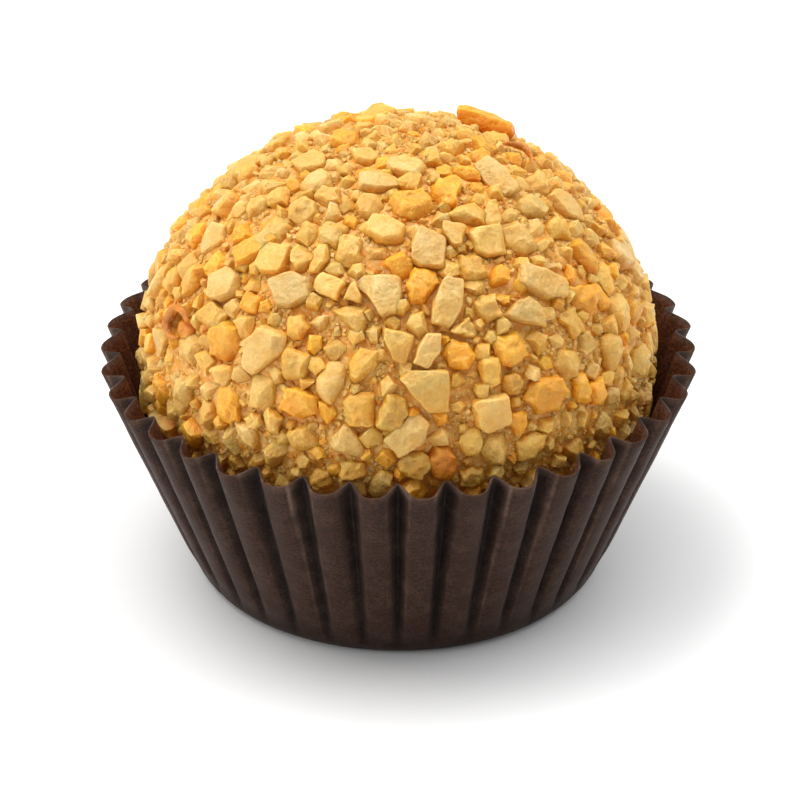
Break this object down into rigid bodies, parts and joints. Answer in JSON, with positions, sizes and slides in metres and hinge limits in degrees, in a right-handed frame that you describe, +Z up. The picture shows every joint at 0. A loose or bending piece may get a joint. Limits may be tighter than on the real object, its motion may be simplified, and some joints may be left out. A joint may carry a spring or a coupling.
{
  "type": "brigadeiro",
  "caption": "Round soft sweet rolled in chopped roasted nuts, seated in a small fluted case of dark brown paper.",
  "frame": {"origin": "middle of the paper case's base, on the surface it stands on", "axes": "+Z up through the ball; a fold of the case faces -Y, the side seen first"},
  "size_m": [0.0392, 0.039, 0.0306],
  "materials": {
    "nuts": "chopped roasted nuts, pale ivory to golden, slightly waxy, on a tan sticky ground",
    "paper": "dark brown greaseproof paper with a faint sheen, paler along folds and rim"
  },
  "bodies": {
    "root": {"nut_coated_ball": "nuts", "paper_case": "paper"}
  },
  "joints": []
}
